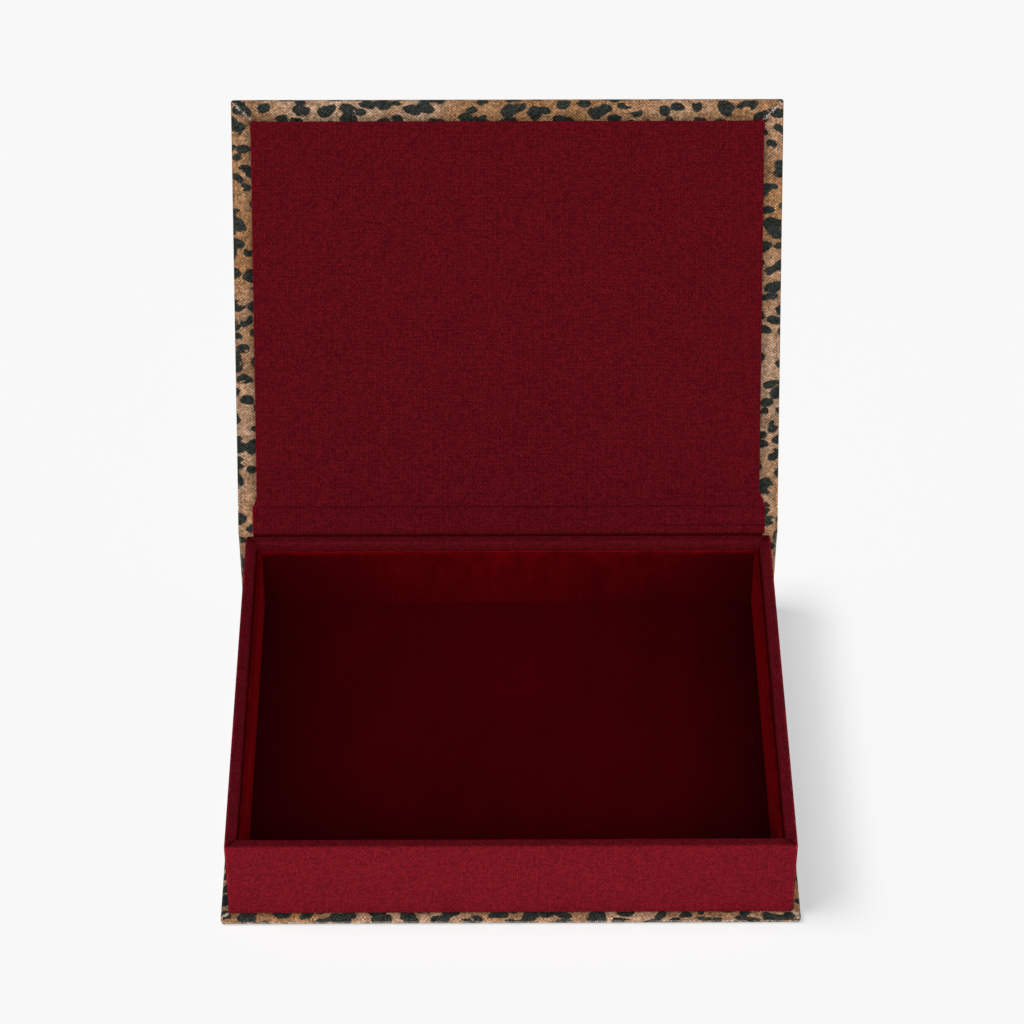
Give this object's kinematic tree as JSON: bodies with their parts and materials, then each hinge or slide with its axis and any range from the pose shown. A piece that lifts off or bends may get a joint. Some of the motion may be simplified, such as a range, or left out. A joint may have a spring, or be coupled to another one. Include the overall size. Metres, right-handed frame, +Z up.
{
  "type": "book box",
  "caption": "Open book-style keepsake box: hinged lid, spine and base in leopard-print cloth, with a red cloth-covered tray lined in velvet to hold papers and small things.",
  "frame": {"origin": "middle of the base cover's underside, on the surface that the box stands on", "axes": "+X to the right of someone facing the open box, +Y from its front to its spine, +Z up"},
  "size_m": [0.25, 0.3024, 0.22],
  "materials": {
    "leopard_cloth": "printed twill cloth, dark spots on tan",
    "red_book_cloth": "plain-woven book cloth, matt",
    "red_velvet": "short dark red pile",
    "greyboard": "grey bookbinder's board"
  },
  "bodies": {
    "tray": {"base_board": "greyboard", "base_cover_cloth": "leopard_cloth", "base_joint_cloth": "leopard_cloth", "spine_board": "greyboard", "spine_cover_cloth": "leopard_cloth", "spine_lining_cloth": "red_book_cloth", "lid_joint_cloth": "leopard_cloth", "joint_lining_cloth": "red_book_cloth", "tray_floor_board": "greyboard", "tray_wrap_cloth": "red_book_cloth", "tray_front_wall": "greyboard", "tray_back_wall": "greyboard", "tray_left_wall": "greyboard", "tray_right_wall": "greyboard", "front_liner_card": "greyboard", "back_liner_card": "greyboard", "left_liner_card": "greyboard", "right_liner_card": "greyboard", "floor_liner_card": "greyboard", "front_velvet": "red_velvet", "back_velvet": "red_velvet", "left_velvet": "red_velvet", "right_velvet": "red_velvet", "floor_velvet": "red_velvet"},
    "lid": {"lid_board": "greyboard", "lid_cover_cloth": "leopard_cloth", "lid_lining_card": "greyboard", "lid_lining_cloth": "red_book_cloth"}
  },
  "joints": [
    {"name": "lid_hinge", "type": "hinge", "parent": "tray", "child": "lid", "pos_m": [0, 0.1056, 0.04685], "axis": [-1, 0, 0], "range_deg": [-120, 72], "deforming": ["lid_joint_cloth", "joint_lining_cloth"]}
  ]
}
